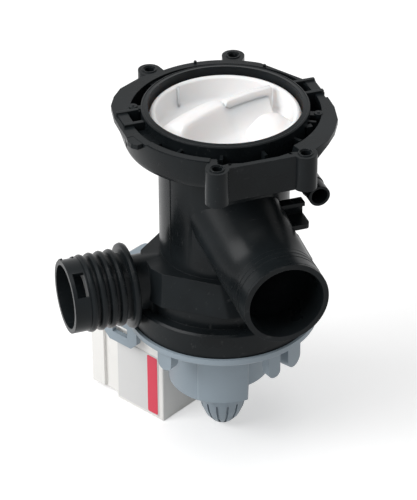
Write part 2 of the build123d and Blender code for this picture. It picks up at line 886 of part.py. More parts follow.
def bush(top):
    """A ceramic bearing bush whose bore runs on the shaft."""
    shell = rod(bush_radius, top - bush_height, top)
    shell = chamfer(edges_at(shell, top, bush_radius), cap_edge)
    return on_motor(shell - rod(shaft_radius + running_gap, top - bush_height - overrun, top + overrun))


def thrust_washer(top):
    """A washer that takes the rotor's end thrust."""
    ring = rod(washer_radius, top - washer_thickness, top)
    return on_motor(ring - rod(shaft_radius + running_gap, top - washer_thickness - overrun, top + overrun))


def rotor_shaft():
    """The steel shaft that both bushes carry."""
    shaft = rod(shaft_radius, shaft_bottom, shaft_top)
    ends = edges_at(shaft, shaft_bottom) + edges_at(shaft, shaft_top)
    return on_motor(chamfer(ends, cap_edge / 2))


def rotor_sleeve():
    """The moulded core between the shaft and the magnet, with a disc at each end."""
    sleeve = rod(sleeve_radius, sleeve_bottom, sleeve_top)
    sleeve += rod(sleeve_flange_radius, sleeve_bottom, magnet_bottom)
    sleeve += rod(sleeve_flange_radius, magnet_top, sleeve_top)
    return on_motor(sleeve - rod(shaft_radius, sleeve_bottom - overrun, sleeve_top + overrun))


def rotor_magnet():
    """The round magnet that turns inside the can."""
    magnet = rod(magnet_radius, magnet_bottom, magnet_top)
    magnet = chamfer(edges_at(magnet, magnet_bottom) + edges_at(magnet, magnet_top), cap_edge)
    return on_motor(magnet - rod(sleeve_radius, magnet_bottom - overrun, magnet_top + overrun))


def drive_dog():
    """The rotor's driver: a hub on the shaft with one dog inside the impeller."""
    high = dog_low + dog_height
    half = dog_width_angle / 2
    hub = rod(dog_hub_radius, dog_low, high)
    hub += rod(dog_radius, dog_low, high) & wedge(-half, half, dog_radius, dog_low, high)
    return on_motor(hub - rod(shaft_radius, dog_low - overrun, high + overrun))


def impeller():
    """Open impeller: disc, six bowed blades and a hub that is hollow around the drive dog."""
    disc_low = impeller_disc_top - impeller_disc
    body = rod(impeller_radius, disc_low, impeller_disc_top)
    body += rod(impeller_hub_radius, disc_low, impeller_top)
    start = (impeller_hub_radius - overrun, 0)
    end = polar(impeller_radius, blade_bow_angle)
    bulge = polar((impeller_hub_radius + impeller_radius) / 2, -blade_bow_angle)
    blade = extrude(trace(ThreePointArc(start, bulge, end), blade_thickness), impeller_top - disc_low)
    blade = Pos(0, 0, disc_low) * blade & rod(impeller_radius, disc_low, impeller_top)
    for step in range(blade_count):
        body += Rot(Z=step * TURN / blade_count) * blade
    # The room that the dog turns in, with the stop that it drives
    room_top = dog_low + dog_height + dog_gap
    room = rod(dog_radius + dog_gap, disc_low - overrun, room_top)
    stop_start = dog_width_angle / 2 + dog_play_angle + stop_slack_angle
    stop_end = TURN - dog_width_angle / 2 - stop_slack_angle
    stop = wedge(stop_start, stop_end, dog_radius * 2, disc_low - overrun * 2, room_top + overrun)
    stop -= rod(dog_hub_radius + dog_gap, disc_low - overrun * 3, room_top + overrun * 2)
    body -= room - stop
    body -= rod(shaft_radius + running_gap, disc_low - overrun, impeller_top - hub_cap)
    return on_motor(body)


def stator_core():
    """The stack of plates: two poles around the can, two legs through the coils and the yoke."""
    from_left = (Align.MIN, Align.CENTER)
    plan = Circle(core_radius)
    kept = Rectangle(core_back + case_start, core_radius * 2, align=from_left)
    plan &= Pos(-core_back, 0) * kept
    plan -= Rectangle(core_radius * 2 + overrun, core_slot)
    for side in (-1, 1):
        leg = Rectangle(leg_end, leg_outer - leg_inner, align=from_left)
        plan += Pos(0, leg_middle(side)) * leg
    plan += Pos(leg_end - yoke_width, 0) * Rectangle(yoke_width, leg_outer * 2, align=from_left)
    plan -= Circle(can_radius + can_wall + core_gap)
    core = Pos(0, 0, core_bottom) * extrude(plan, core_top - core_bottom)
    return on_stator(core)


def leg_middle(side):
    """How far the middle of one leg lies from the middle of the core."""
    return side * (leg_inner + leg_outer) / 2


def bobbin(side):
    """One coil former on its leg."""
    middle = leg_middle(side)
    half = (leg_outer - leg_inner) / 2 + bobbin_clearance
    low = core_bottom - bobbin_clearance
    high = core_top + bobbin_clearance
    near = middle - half
    far = middle + half
    wall = bobbin_wall
    tube = block(bobbin_start, bobbin_end, near - wall, far + wall, low - wall, high + wall)
    reach = bobbin_flange_reach
    for start in (bobbin_start, bobbin_end - bobbin_flange):
        end = start + bobbin_flange
        tube += block(start, end, near - reach, far + reach, low - reach, high + reach)
    tube -= block(bobbin_start - overrun, bobbin_end + overrun, near, far, low, high)
    return on_stator(tube)


def winding(side):
    """The coil wound on one bobbin, with round outer corners."""
    middle = leg_middle(side)
    half = (leg_outer - leg_inner) / 2 + bobbin_clearance + bobbin_wall + coil_gap
    low = core_bottom - bobbin_clearance - bobbin_wall - coil_gap
    high = core_top + bobbin_clearance + bobbin_wall + coil_gap
    start = bobbin_start + bobbin_flange + coil_gap
    end = bobbin_end - bobbin_flange - coil_gap
    grow = coil_turns_reach
    coil = block(start, end, middle - half - grow, middle + half + grow, low - grow, high + grow)
    coil = fillet(coil.edges().filter_by(Axis.X), grow * winding_round_share)
    coil -= block(start - overrun, end + overrun, middle - half, middle + half, low, high)
    return on_stator(coil)


def coil_cover():
    """The white cover over both coils, with its connector shroud, lug and divider."""
    wide = case_half_width
    waist = wide - shroud_step
    shroud_low = case_bottom + shroud_rise
    case = block(case_start, case_end, -wide, wide, case_bottom, case_top)
    case = fillet(case.edges().filter_by(UPRIGHT).sort_by(Axis.X)[:2], case_round)
    waist_low = case_bottom + shroud_step
    case += block(case_end - overrun, shroud_start + overrun, -waist, waist, waist_low, case_top)
    case += block(shroud_start, shroud_end, -wide, wide, shroud_low, case_top)
    # The coils' room and the narrower one behind the socket
    roof = case_top - case_wall
    case -= block(
        case_start + case_wall, case_end - case_wall, case_wall - wide, wide - case_wall,
        case_bottom + case_wall, roof,
    )
    inner = waist - case_wall
    rear = block(
        case_end - case_wall - overrun, shroud_end - case_wall, -inner, inner,
        shroud_low + case_wall, roof,
    )
    keep = socket_half_width + case_wall
    case -= rear - block(
        socket_floor - case_wall, shroud_end, -keep, keep, socket_low - case_wall, socket_top + case_wall,
    )
    near = case_start + case_wall
    far = case_end - case_wall
    case += block(near, far, case_wall - wide, wide - case_wall, divider_level - divider, divider_level)
    case -= block(
        case_start - overrun, near + overrun, -leg_outer - core_gap, leg_outer + core_gap,
        core_bottom - core_gap, core_top + core_gap,
    )
    half = socket_half_width
    case -= block(socket_floor, shroud_end + overrun, -half, half, socket_low, socket_top)
    slot_half = blade_tab_thickness / 2 + print_gap
    slot_rise = blade_tab_height / 2 + print_gap
    for place in blade_tab_places:
        case -= block(
            socket_floor - case_wall - overrun, socket_floor + overrun, place - slot_half, place + slot_half,
            blade_tab_level - slot_rise, blade_tab_level + slot_rise,
        )
    lug_start = loop_place - lug_width / 2
    lug = block(lug_start, lug_start + lug_width, waist, wide + lug_reach, lug_top - lug_height, lug_top)
    top_edge = lug.edges().filter_by(Axis.X).sort_by(Axis.Y)[-2:].sort_by(UPRIGHT)[0]
    case += chamfer(top_edge, lug_reach * winding_round_share)
    return on_stator(case)


def terminal_tab(place):
    """One blade terminal in the socket."""
    start = socket_floor - blade_tab_root
    half = blade_tab_thickness / 2
    low = blade_tab_level - blade_tab_height / 2
    end = socket_floor + blade_tab_reach
    tab = block(start, end, place - half, place + half, low, low + blade_tab_height)
    tip = tab.edges().filter_by(Axis.Y).sort_by(Axis.X)[-2:]
    return chamfer(tip, cap_edge)


def terminal_set():
    """Both blade terminals as one piece."""
    return Compound(children=[on_stator(terminal_tab(place)) for place in blade_tab_places])


def thermal_cutout():
    """The protector under the divider, which opens if the coils overheat."""
    half = cutout_width / 2
    top = divider_level - divider - case_gap
    case = block(cutout_start, cutout_start + cutout_length, -half, half, top - cutout_height, top)
    return on_stator(fillet(case.edges().filter_by(Axis.X), cap_edge))


def rating_label():
    """The blank label on the coil cover's side."""
    near = case_half_width + print_gap
    label = block(label_start, label_end, near, near + label_thickness, label_bottom, label_top)
    return on_stator(label)


def label_band():
    """The plain band printed along the label's edge."""
    near = case_half_width + print_gap + label_thickness + print_gap
    start = label_start + band_margin
    low = label_bottom + band_margin
    high = label_top - band_margin
    return on_stator(block(start, start + band_width, near, near + band_thickness, low, high))


pieces = {
    "pump_housing": pump_housing(),
    "filter_cap": filter_cap(),
    "filter_cage": filter_cage(),
    "filter_seal": filter_seal(),
    "motor_body": motor_body(),
    "housing_seal": housing_seal(),
    "bearing_cover": bearing_cover(),
    "cover_screws": cover_screw_set(),
    "front_bush": bush(front_bush_top),
    "rear_bush": bush(rear_bush_top),
    "front_washer": thrust_washer(front_washer_top),
    "rear_washer": thrust_washer(rear_washer_top),
    "rotor_shaft": rotor_shaft(),
    "rotor_sleeve": rotor_sleeve(),
    "rotor_magnet": rotor_magnet(),
    "drive_dog": drive_dog(),
    "impeller": impeller(),
    "stator_core": stator_core(),
    "bobbin_left": bobbin(1),
    "bobbin_right": bobbin(-1),
    "winding_left": winding(1),
    "winding_right": winding(-1),
    "coil_cover": coil_cover(),
    "terminal_tabs": terminal_set(),
    "thermal_cutout": thermal_cutout(),
    "rating_label": rating_label(),
    "label_band": label_band(),
}

os.makedirs("parts", exist_ok=True)
for name, piece in pieces.items():
    export_step(piece, f"parts/{name}.step")
    print(name, len(piece.solids()), round(piece.volume))
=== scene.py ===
import json
import math
import bmesh
import bpy
from mathutils import Matrix, Vector


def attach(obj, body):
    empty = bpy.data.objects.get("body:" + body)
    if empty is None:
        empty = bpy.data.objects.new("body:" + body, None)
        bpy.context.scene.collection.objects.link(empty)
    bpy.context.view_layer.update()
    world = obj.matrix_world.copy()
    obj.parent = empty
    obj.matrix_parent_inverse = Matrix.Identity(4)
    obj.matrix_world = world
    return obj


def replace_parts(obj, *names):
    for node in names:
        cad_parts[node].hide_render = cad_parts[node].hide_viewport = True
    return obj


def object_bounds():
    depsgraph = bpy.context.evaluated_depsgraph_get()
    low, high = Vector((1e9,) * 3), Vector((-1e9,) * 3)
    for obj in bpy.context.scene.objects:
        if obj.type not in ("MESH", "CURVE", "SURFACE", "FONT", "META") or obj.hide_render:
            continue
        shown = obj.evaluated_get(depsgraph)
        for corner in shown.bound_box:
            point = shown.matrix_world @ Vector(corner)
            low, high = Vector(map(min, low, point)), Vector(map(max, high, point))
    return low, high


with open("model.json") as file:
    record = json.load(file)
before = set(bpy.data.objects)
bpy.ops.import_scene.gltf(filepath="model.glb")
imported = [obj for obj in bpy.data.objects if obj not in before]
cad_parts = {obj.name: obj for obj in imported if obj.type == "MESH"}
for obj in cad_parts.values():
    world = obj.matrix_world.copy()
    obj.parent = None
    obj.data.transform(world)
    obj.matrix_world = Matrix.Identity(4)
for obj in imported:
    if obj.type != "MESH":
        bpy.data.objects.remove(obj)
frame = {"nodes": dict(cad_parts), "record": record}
cad_low, cad_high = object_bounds()

# Shapes are drawn in millimetres and made metres when they are kept. Materials work in metres.
MM = 0.001
MOTOR = Vector((-1.3, 0.6, 0.0))
STATOR_TURN = math.radians(119.0)


# Shader groups that several finishes share

def group_with(name, inputs, outputs):
    """A shader node group with float or vector inputs and float outputs."""
    tree = bpy.data.node_groups.new(name, "ShaderNodeTree")
    for label, kind, value in inputs:
        made = tree.interface.new_socket(label, in_out="INPUT", socket_type=kind)
        if value is not None:
            made.default_value = value
    for label in outputs:
        tree.interface.new_socket(label, in_out="OUTPUT", socket_type="NodeSocketFloat")
    return tree, tree.nodes.new("NodeGroupInput"), tree.nodes.new("NodeGroupOutput")


def noise(tree, vector, scale, detail=3.0, rough=0.5):
    """A noise node whose scale is a number or another socket."""
    node = tree.nodes.new("ShaderNodeTexNoise")
    node.inputs["Detail"].default_value = detail
    node.inputs["Roughness"].default_value = rough
    tree.links.new(vector, node.inputs["Vector"])
    if isinstance(scale, (int, float)):
        node.inputs["Scale"].default_value = scale
    else:
        tree.links.new(scale, node.inputs["Scale"])
    return node


def ranged(tree, value, low, high, out_low, out_high):
    """Maps a value's range to another one, clamped."""
    node = tree.nodes.new("ShaderNodeMapRange")
    node.inputs["From Min"].default_value = low
    node.inputs["From Max"].default_value = high
    node.inputs["To Min"].default_value = out_low
    node.inputs["To Max"].default_value = out_high
    tree.links.new(value, node.inputs["Value"])
    return node.outputs["Result"]


def maths(tree, kind, a, b):
    """A math node of two sockets or numbers."""
    node = tree.nodes.new("ShaderNodeMath")
    node.operation = kind
    for place, value in enumerate((a, b)):
        if isinstance(value, (int, float)):
            node.inputs[place].default_value = value
        else:
            tree.links.new(value, node.inputs[place])
    return node.outputs[0]


def stretched(tree, vector, scale, turn=(0.0, 0.0, 0.0)):
    """Coordinates that are turned and drawn out along their axes."""
    node = tree.nodes.new("ShaderNodeMapping")
    node.inputs["Rotation"].default_value = turn
    node.inputs["Scale"].default_value = scale
    tree.links.new(vector, node.inputs["Vector"])
    return node.outputs["Vector"]


def moulded_skin():
    """Fine grain, soft patches and thin scuffs of an injection moulded surface."""
    tree, given, out = group_with(
        "moulded_skin",
        [("Vector", "NodeSocketVector", None), ("Grain Scale", "NodeSocketFloat", 2600.0),
         ("Patch Scale", "NodeSocketFloat", 42.0), ("Scuff Scale", "NodeSocketFloat", 90.0)],
        ["Grain", "Patches", "Scuffs"],
    )
    place = given.outputs["Vector"]
    grain = noise(tree, place, given.outputs["Grain Scale"], 2.0, 0.6)
    patches = noise(tree, place, given.outputs["Patch Scale"], 4.0, 0.55)
    drawn_out = stretched(tree, place, (1.0, 9.0, 3.0), (0.5, 0.3, 0.9))
    scuffs = noise(tree, drawn_out, given.outputs["Scuff Scale"], 5.0, 0.7)
    tree.links.new(grain.outputs["Fac"], out.inputs["Grain"])
    tree.links.new(ranged(tree, patches.outputs["Fac"], 0.3, 0.7, 0.0, 1.0), out.inputs["Patches"])
    tree.links.new(ranged(tree, scuffs.outputs["Fac"], 0.62, 0.72, 0.0, 1.0), out.inputs["Scuffs"])
    return tree


def drawn_metal():
    """Fine lines along one way, with a slow change of tone."""
    tree, given, out = group_with(
        "drawn_metal",
        [("Vector", "NodeSocketVector", None), ("Line Scale", "NodeSocketFloat", 900.0),
         ("Tone Scale", "NodeSocketFloat", 120.0)],
        ["Lines", "Tone"],
    )
    drawn_out = stretched(tree, given.outputs["Vector"], (1.0, 1.0, 0.03))
    lines = noise(tree, drawn_out, given.outputs["Line Scale"], 2.0, 0.6)
    tone = noise(tree, given.outputs["Vector"], given.outputs["Tone Scale"], 3.0, 0.5)
    tree.links.new(lines.outputs["Fac"], out.inputs["Lines"])
    tree.links.new(tone.outputs["Fac"], out.inputs["Tone"])
    return tree


def wound_wire():
    """Turns of enamelled wire side by side, as bands along the coil."""
    tree, given, out = group_with(
        "wound_wire",
        [("Vector", "NodeSocketVector", None), ("Turns Scale", "NodeSocketFloat", 700.0)],
        ["Turns", "Tone"],
    )
    bands = tree.nodes.new("ShaderNodeTexWave")
    bands.bands_direction = "X"
    bands.inputs["Distortion"].default_value = 0.6
    bands.inputs["Detail"].default_value = 1.0
    along_coil = stretched(tree, given.outputs["Vector"], (1.0, 1.0, 1.0), (0.0, 0.0, -STATOR_TURN))
    tree.links.new(along_coil, bands.inputs["Vector"])
    tree.links.new(given.outputs["Turns Scale"], bands.inputs["Scale"])
    tone = noise(tree, given.outputs["Vector"], 300.0, 2.0, 0.5)
    tree.links.new(bands.outputs["Fac"], out.inputs["Turns"])
    tree.links.new(tone.outputs["Fac"], out.inputs["Tone"])
    return tree


SKIN = moulded_skin()
DRAWN = drawn_metal()
WIRE = wound_wire()


# Materials

def start_material(name):
    """A material with its shader, its object coordinates and nothing else."""
    made = bpy.data.materials.new(name)
    made.use_nodes = True
    tree = made.node_tree
    tree.nodes.clear()
    out = tree.nodes.new("ShaderNodeOutputMaterial")
    shader = tree.nodes.new("ShaderNodeBsdfPrincipled")
    tree.links.new(shader.outputs["BSDF"], out.inputs["Surface"])
    place = tree.nodes.new("ShaderNodeTexCoord")
    return made, tree, shader, place.outputs["Object"]


def effect(tree, group, place):
    """One of the shared groups, set at a place's coordinates."""
    node = tree.nodes.new("ShaderNodeGroup")
    node.node_tree = group
    tree.links.new(place, node.inputs["Vector"])
    return node


def blended(tree, factor, first, second):
    """A colour between two others, of which the first may be a socket."""
    node = tree.nodes.new("ShaderNodeMix")
    node.data_type = "RGBA"
    if isinstance(first, tuple):
        node.inputs["A"].default_value = (*first, 1.0)
    else:
        tree.links.new(first, node.inputs["A"])
    node.inputs["B"].default_value = (*second, 1.0)
    tree.links.new(factor, node.inputs["Factor"])
    return node.outputs["Result"]


def toned(colour, share):
    """The same colour, lighter or darker."""
    return tuple(min(1.0, c * share) for c in colour)


def embossed(tree, shader, height, strength, depth):
    """Gives the shader a relief of a depth in millimetres, and returns its bump node."""
    bump = tree.nodes.new("ShaderNodeBump")
    bump.inputs["Strength"].default_value = strength
    bump.inputs["Distance"].default_value = depth * MM
    tree.links.new(height, bump.inputs["Height"])
    tree.links.new(bump.outputs["Normal"], shader.inputs["Normal"])
    return bump


def moulded(name, colour, rough, spread=0.05, contrast=0.06, grain=2600.0, depth=0.004, soft_edge=0.25,
            scuff=0.05, gloss=0.5, milky=0.0):
    """Moulded plastic or rubber: patchy tone, fine grain, faint scuffs and slightly rounded edges."""
    made, tree, shader, place = start_material(name)
    skin = effect(tree, SKIN, place)
    skin.inputs["Grain Scale"].default_value = grain
    dark, light = toned(colour, 1.0 - contrast), toned(colour, 1.0 + contrast)
    base = blended(tree, skin.outputs["Patches"], dark, light)
    worn = maths(tree, "MULTIPLY", skin.outputs["Scuffs"], scuff)
    tree.links.new(blended(tree, worn, base, (0.5, 0.5, 0.5)), shader.inputs["Base Color"])
    dulled = ranged(tree, skin.outputs["Patches"], 0.0, 1.0, rough - spread, rough + spread)
    tree.links.new(dulled, shader.inputs["Roughness"])
    shader.inputs["Specular IOR Level"].default_value = gloss
    shader.inputs["Subsurface Weight"].default_value = milky
    shader.inputs["Subsurface Radius"].default_value = (1.0, 0.8, 0.7)
    shader.inputs["Subsurface Scale"].default_value = 6.0 * MM
    bump = embossed(tree, shader, skin.outputs["Grain"], 0.5, depth)
    if soft_edge:
        edge = tree.nodes.new("ShaderNodeBevel")
        edge.samples = 4
        edge.inputs["Radius"].default_value = soft_edge * MM
        tree.links.new(edge.outputs["Normal"], bump.inputs["Normal"])
    return made


def metal(name, colour, rough, lines=900.0, depth=0.004):
    """Drawn or ground metal."""
    made, tree, shader, place = start_material(name)
    drawn = effect(tree, DRAWN, place)
    drawn.inputs["Line Scale"].default_value = lines
    tone = blended(tree, drawn.outputs["Tone"], toned(colour, 0.85), toned(colour, 1.12))
    tree.links.new(tone, shader.inputs["Base Color"])
    ground = ranged(tree, drawn.outputs["Lines"], 0.3, 0.7, rough - 0.06, rough + 0.08)
    tree.links.new(ground, shader.inputs["Roughness"])
    shader.inputs["Metallic"].default_value = 1.0
    embossed(tree, shader, drawn.outputs["Lines"], 0.4, depth)
    return made


def coil_wire(name, colour):
    """Enamelled copper wire, wound in even turns."""
    made, tree, shader, place = start_material(name)
    wire = effect(tree, WIRE, place)
    tone = blended(tree, wire.outputs["Turns"], toned(colour, 0.45), toned(colour, 1.1))
    tree.links.new(tone, shader.inputs["Base Color"])
    tree.links.new(ranged(tree, wire.outputs["Tone"], 0.3, 0.7, 0.25, 0.4), shader.inputs["Roughness"])
    shader.inputs["Metallic"].default_value = 0.8
    embossed(tree, shader, wire.outputs["Turns"], 0.7, 0.1)
    return made


def printed(name, colour, rough, contrast):
    """Smooth label stock or the ink on it."""
    return moulded(
        name, colour, rough, contrast=contrast, grain=5000.0, depth=0.002, soft_edge=0.0, scuff=0.0,
    )


finishes = {
    "housing_black": moulded(
        "housing_black", (0.0075, 0.0095, 0.0107), 0.3, spread=0.06, contrast=0.3, soft_edge=0.4, gloss=0.12,
    ),
    "filter_white": moulded(
        "filter_white", (0.83, 0.815, 0.81), 0.38, contrast=0.012, scuff=0.01, gloss=0.2, milky=0.6,
    ),
    "motor_grey": moulded("motor_grey", (0.255, 0.31, 0.355), 0.42, contrast=0.035, scuff=0.04),
    "cover_white": moulded("cover_white", (0.84, 0.83, 0.805), 0.45, contrast=0.015, scuff=0.02),
    "seal_rubber": moulded("seal_rubber", (0.018, 0.018, 0.018), 0.7, grain=1500.0, soft_edge=0.0),
    "steel": metal("steel", (0.56, 0.56, 0.57), 0.24),
    "bush_graphite": moulded("bush_graphite", (0.05, 0.05, 0.055), 0.5, grain=3500.0, soft_edge=0.0),
    "sleeve_plastic": moulded("sleeve_plastic", (0.03, 0.03, 0.035), 0.45, soft_edge=0.0),
    "magnet_ferrite": moulded(
        "magnet_ferrite", (0.06, 0.06, 0.065), 0.5, grain=3000.0, depth=0.01, soft_edge=0.0,
    ),
    "core_steel": metal("core_steel", (0.36, 0.36, 0.37), 0.38, lines=1400.0, depth=0.02),
    "bobbin_plastic": moulded("bobbin_plastic", (0.72, 0.72, 0.66), 0.45, contrast=0.02, soft_edge=0.0),
    "winding_copper": coil_wire("winding_copper", (0.52, 0.21, 0.08)),
    "tab_brass": metal("tab_brass", (0.72, 0.62, 0.34), 0.3, lines=1600.0),
    "cutout_plastic": moulded("cutout_plastic", (0.035, 0.035, 0.035), 0.4, soft_edge=0.0),
    "label_white": printed("label_white", (0.66, 0.66, 0.655), 0.38, 0.012),
    "band_red": printed("band_red", (0.70, 0.03, 0.075), 0.36, 0.03),
}

for entry in frame["record"]["subparts"]:
    node = frame["nodes"][entry["node"]]
    node.data.materials.clear()
    node.data.materials.append(finishes[entry["material_slot"]])


# Helpers that make meshes

def keep(mesh_data, name, body, slot, smooth=True):
    """Links a made piece, finishes it and lets it ride on its body."""
    piece = bpy.data.objects.new(name, mesh_data)
    bpy.context.scene.collection.objects.link(piece)
    piece.data.materials.clear()
    piece.data.materials.append(finishes[slot])
    for face in piece.data.polygons:
        face.use_smooth = smooth
        face.material_index = 0
    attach(piece, body)
    return piece


def from_bmesh(shape, name, body, slot, smooth=True):
    """A kept piece from a bmesh whose places are in millimetres."""
    bmesh.ops.recalc_face_normals(shape, faces=shape.faces[:])
    bmesh.ops.transform(shape, matrix=Matrix.Scale(MM, 4), verts=shape.verts[:])
    data = bpy.data.meshes.new(name)
    shape.to_mesh(data)
    shape.free()
    return keep(data, name, body, slot, smooth)


def housing_piece(shape, name, smooth=True):
    """A kept piece of the black moulding."""
    return from_bmesh(shape, name, "housing", "housing_black", smooth)


def bar(shape, low, high):
    """A straight-edged block between two corners."""
    size = Vector(high) - Vector(low)
    place = Matrix.Translation((Vector(high) + Vector(low)) / 2) @ Matrix.Diagonal((*size, 1.0))
    bmesh.ops.create_cube(shape, size=1.0, matrix=place)


def tapered(shape, place, low_radius, top_radius, height, sides):
    """A closed upright pin around a place."""
    bmesh.ops.create_cone(
        shape, cap_ends=True, segments=sides, radius1=low_radius, radius2=top_radius, depth=height,
        matrix=Matrix.Translation(place),
    )


def pin(shape, x, y, low, high, radius):
    """A closed upright pin between two levels."""
    tapered(shape, (x, y, (low + high) / 2), radius, radius, high - low, 12)


def ring_of(shape, sides, place_at):
    """A ring of corners, each where a rule puts it for its angle."""
    return [shape.verts.new(place_at(math.tau * step / sides)) for step in range(sides)]


def level_ring(shape, sides, radius, level, middle=0.0):
    """A level ring of corners around the pump's axis or beside it."""
    return ring_of(shape, sides, lambda a: (middle + radius * math.cos(a), radius * math.sin(a), level))


def joined(shape, rings):
    """Faces between each ring of corners and the next."""
    for first, second in zip(rings, rings[1:]):
        for step in range(len(first)):
            after = (step + 1) % len(first)
            shape.faces.new((first[step], first[after], second[after], second[step]))


def closed_bar(shape, rings):
    """A bar through rings of corners, closed at both ends."""
    joined(shape, rings)
    shape.faces.new(rings[0])
    shape.faces.new(list(reversed(rings[-1])))


def sharpened(shape, ring):
    """Keeps the edge along a ring of corners sharp."""
    for step in range(len(ring)):
        shape.edges.get((ring[step], ring[(step + 1) % len(ring)])).smooth = False


def ring_part(shape, near, far, start, end, low, high, steps=18):
    """A part of a flat ring between two angles in degrees."""
    rings = []
    for step in range(steps + 1):
        angle = math.radians(start + (end - start) * step / steps)
        way = Vector((math.cos(angle), math.sin(angle), 0))
        corners = ((near, low), (far, low), (far, high), (near, high))
        rings.append([shape.verts.new(way * reach + Vector((0, 0, level))) for reach, level in corners])
    closed_bar(shape, rings)


# Raised rings, made by Geometry Nodes

def ring_line_tree(slot):
    """Rings of round wire set out evenly along a line, all facing one way."""
    tree = bpy.data.node_groups.new("ring_line", "GeometryNodeTree")
    face = tree.interface
    for label, kind in (
        ("Geometry", "Geometry"), ("Ring Count", "Int"), ("First Place", "Vector"), ("Step", "Vector"),
        ("Facing", "Vector"), ("Ring Radius", "Float"), ("Wire Radius", "Float"),
    ):
        face.new_socket(label, in_out="INPUT", socket_type="NodeSocket" + kind)
    face.new_socket("Geometry", in_out="OUTPUT", socket_type="NodeSocketGeometry")
    given = tree.nodes.new("NodeGroupInput")
    out = tree.nodes.new("NodeGroupOutput")
    line = tree.nodes.new("GeometryNodeMeshLine")
    line.mode = "OFFSET"
    ring = tree.nodes.new("GeometryNodeCurvePrimitiveCircle")
    ring.inputs["Resolution"].default_value = 96
    wire = tree.nodes.new("GeometryNodeCurvePrimitiveCircle")
    wire.inputs["Resolution"].default_value = 10
    sweep = tree.nodes.new("GeometryNodeCurveToMesh")
    turn = tree.nodes.new("FunctionNodeAlignRotationToVector")
    turn.axis = "Z"
    spread = tree.nodes.new("GeometryNodeInstanceOnPoints")
    real = tree.nodes.new("GeometryNodeRealizeInstances")
    paint = tree.nodes.new("GeometryNodeSetMaterial")
    paint.inputs["Material"].default_value = finishes[slot]
    for start, start_socket, end, end_socket in (
        (given, "Ring Count", line, "Count"), (given, "First Place", line, "Start Location"),
        (given, "Step", line, "Offset"), (given, "Ring Radius", ring, "Radius"),
        (given, "Wire Radius", wire, "Radius"), (ring, "Curve", sweep, "Curve"),
        (wire, "Curve", sweep, "Profile Curve"), (given, "Facing", turn, "Vector"),
        (line, "Mesh", spread, "Points"), (sweep, "Mesh", spread, "Instance"),
        (turn, "Rotation", spread, "Rotation"), (spread, "Instances", real, "Geometry"),
        (real, "Geometry", paint, "Geometry"), (paint, "Geometry", out, "Geometry"),
    ):
        tree.links.new(start.outputs[start_socket], end.inputs[end_socket])
    return tree


RING_LINE = ring_line_tree("housing_black")


def ring_line(name, count, first, step, facing, radius, wire):
    """A row of raised rings on the housing, in millimetres, kept as a plain mesh."""
    values = {
        "Ring Count": count,
        "First Place": tuple(v * MM for v in first),
        "Step": tuple(v * MM for v in step),
        "Facing": facing,
        "Ring Radius": radius * MM,
        "Wire Radius": wire * MM,
    }
    point = bpy.data.meshes.new("carrier")
    point.from_pydata([(0, 0, 0)], [], [])
    carrier = bpy.data.objects.new("carrier", point)
    bpy.context.scene.collection.objects.link(carrier)
    maker = carrier.modifiers.new(name, "NODES")
    maker.node_group = RING_LINE
    for item in RING_LINE.interface.items_tree:
        if item.item_type == "SOCKET" and item.in_out == "INPUT" and item.name in values:
            maker[item.identifier] = values[item.name]
    bpy.context.view_layer.update()
    ready = carrier.evaluated_get(bpy.context.evaluated_depsgraph_get())
    data = bpy.data.meshes.new_from_object(ready)
    data.name = name
    carrier.modifiers.remove(maker)
    bpy.data.objects.remove(carrier)
    return keep(data, name, "housing", "housing_black")


# The black moulding. Levels count from the ears' tops.
COLLAR_RADIUS, COLLAR_BORE, COLLAR_TOP, COLLAR_BEVEL = 38.0, 35.0, 3.1, 2.5
TRAY_SIDE, TRAY_LOW = 46.6, -12.0
TROUGH_RADIUS, TROUGH_FRONT_LOW = 43.2, -9.0
TROUGH_IN, TROUGH_OUT = 37.7, 43.6
WING_ROOT, WING_HALF, WING_LIP_LOW, WING_LOW = 46.0, 45.0, -6.0, -2.5
BRACKET_PLACES, BRACKET_SIDE = (0.9, 12.2), 13.5
NECK_X, NECK_BORE = -0.6, 27.5
INLET_X, INLET_Z, INLET_RADIUS = 5.5, -64.0, 20.06
OUTLET_Y, OUTLET_Z = 1.7, -84.8
LOW_SLACK, TOP_SLACK, RADIUS_SLACK = 0.06, 0.02, 0.05
SMOOTH_LIMIT = math.radians(28)


def housing_place(place):
    """Thins the wings, frees the brackets' undersides, bevels the collar and opens the trough's front."""
    reach = math.hypot(place.x, place.y)
    around = math.degrees(math.atan2(place.y, place.x))
    if reach > WING_ROOT and abs(place.z - WING_LIP_LOW) < LOW_SLACK and abs(place.y) < WING_HALF:
        place.z = WING_LOW
    if reach > TRAY_SIDE and abs(place.z - TRAY_LOW) < LOW_SLACK and abs(place.y) < BRACKET_SIDE:
        place.z = WING_LOW
    if abs(reach - COLLAR_RADIUS) < RADIUS_SLACK and abs(place.z - COLLAR_TOP) < TOP_SLACK:
        place.z = COLLAR_BEVEL
    if abs(reach - TROUGH_RADIUS) < RADIUS_SLACK and abs(place.z) < TOP_SLACK and -113.0 < around < -67.0:
        place.z = TROUGH_FRONT_LOW
    return place


def housing_moulding():
    """The housing's own mesh with a few corners moved, its sharp edges kept."""
    source = frame["nodes"]["pump_housing"]
    shape = bmesh.new()
    corners = [shape.verts.new(source.matrix_world @ corner.co / MM) for corner in source.data.vertices]
    for face in source.data.polygons:
        shape.faces.new([corners[place] for place in face.vertices])
    bmesh.ops.remove_doubles(shape, verts=shape.verts[:], dist=0.002)
    for corner in shape.verts:
        corner.co = housing_place(corner.co.copy())
    bmesh.ops.dissolve_degenerate(shape, dist=0.002, edges=shape.edges[:])
    shape.normal_update()
    for edge in shape.edges:
        edge.smooth = len(edge.link_faces) == 2 and edge.calc_face_angle(0.0) < SMOOTH_LIMIT
    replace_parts(housing_piece(shape, "housing_moulding"), "pump_housing")


